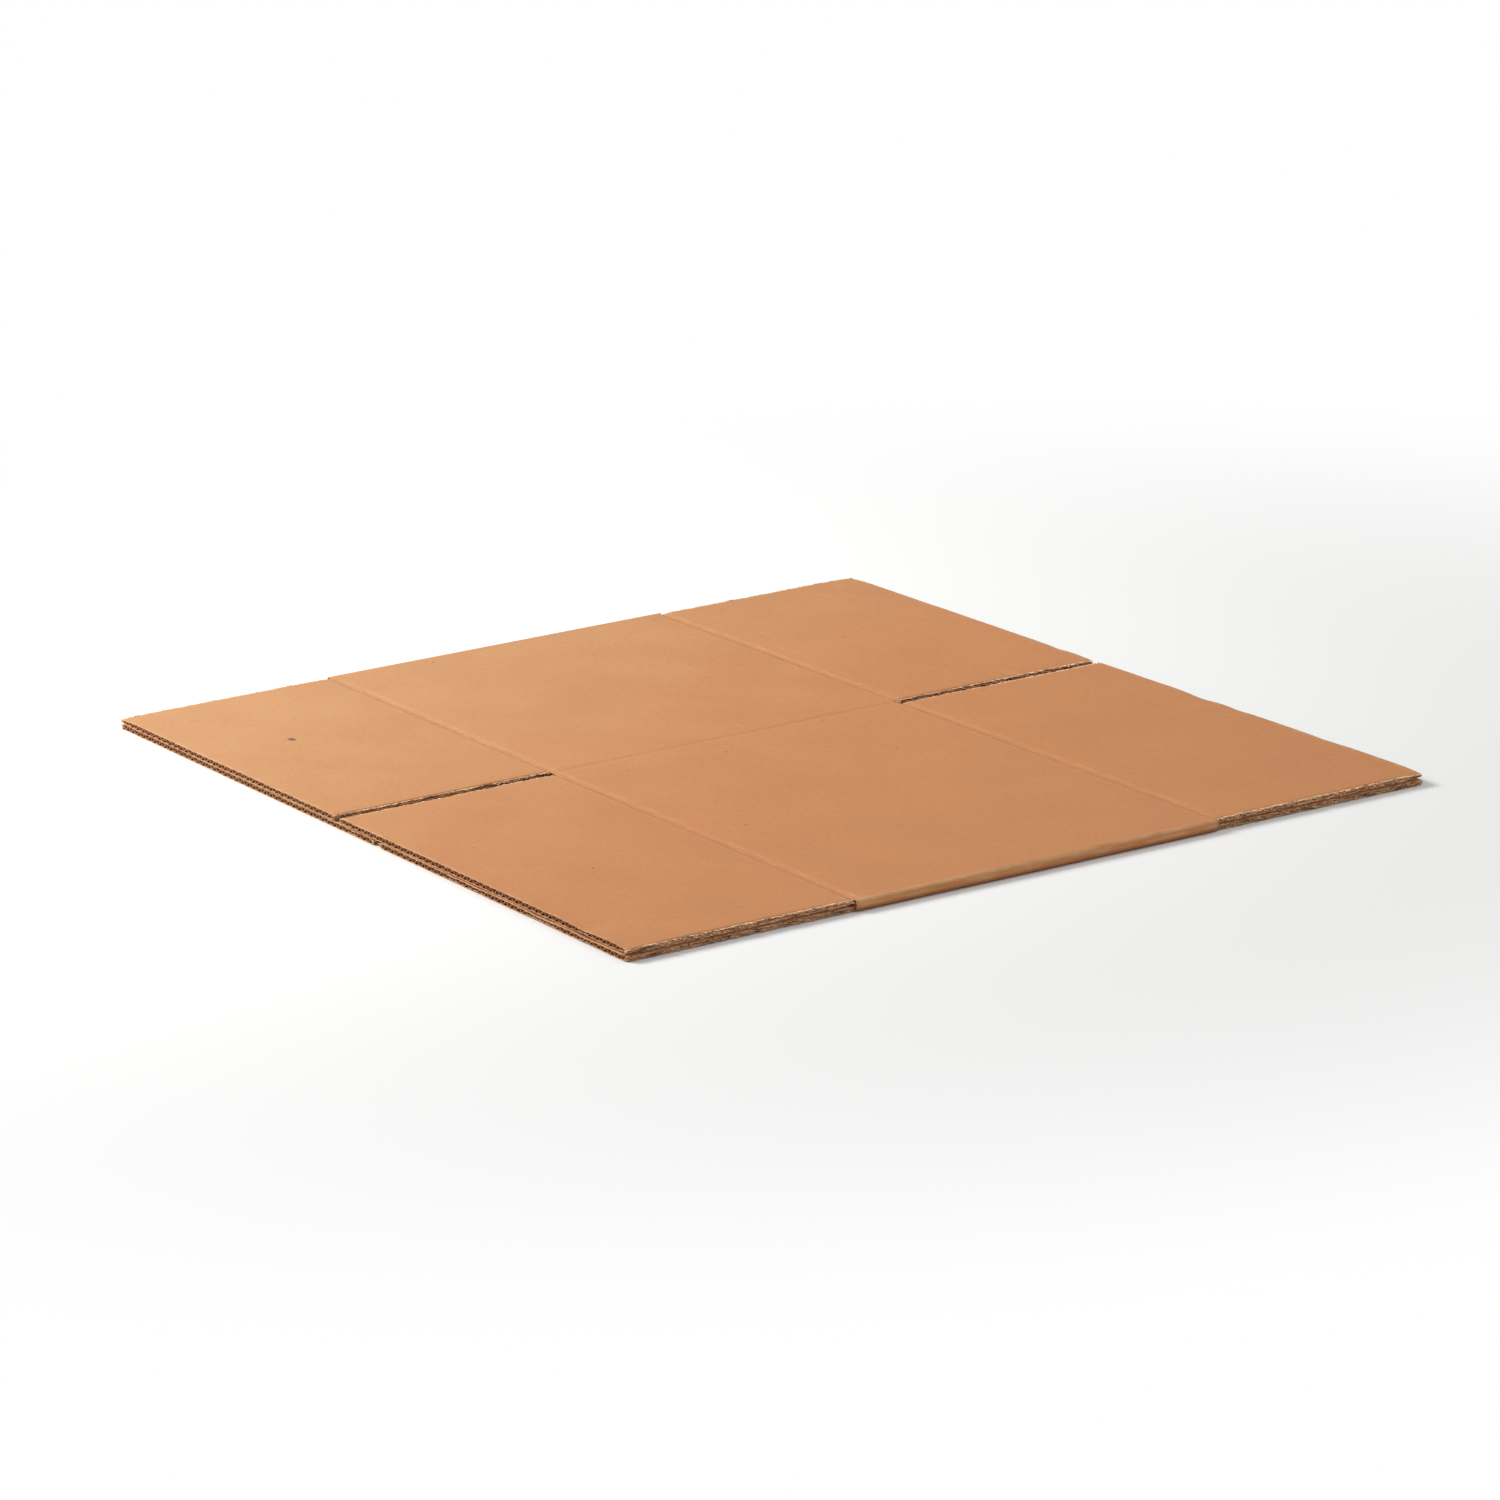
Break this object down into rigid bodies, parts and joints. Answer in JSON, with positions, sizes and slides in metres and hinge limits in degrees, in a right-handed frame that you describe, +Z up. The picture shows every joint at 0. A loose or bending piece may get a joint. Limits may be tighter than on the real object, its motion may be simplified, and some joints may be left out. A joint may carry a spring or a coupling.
{
  "type": "flattened cardboard box",
  "caption": "Knocked-down slotted carton of corrugated board, folded flat into two layers with its flaps straight out, ready to be opened up and taped.",
  "frame": {"origin": "centre of the flat box's underside", "axes": "+Z up through the two layers; +X across the panels, from fold to fold; +Y along the flutes, from one row of flaps to the other"},
  "size_m": [0.6604, 0.5588, 0.0079],
  "materials": {
    "kraft_board": "matte"
  },
  "bodies": {
    "root": {"flattened_box": "kraft_board"}
  },
  "joints": []
}
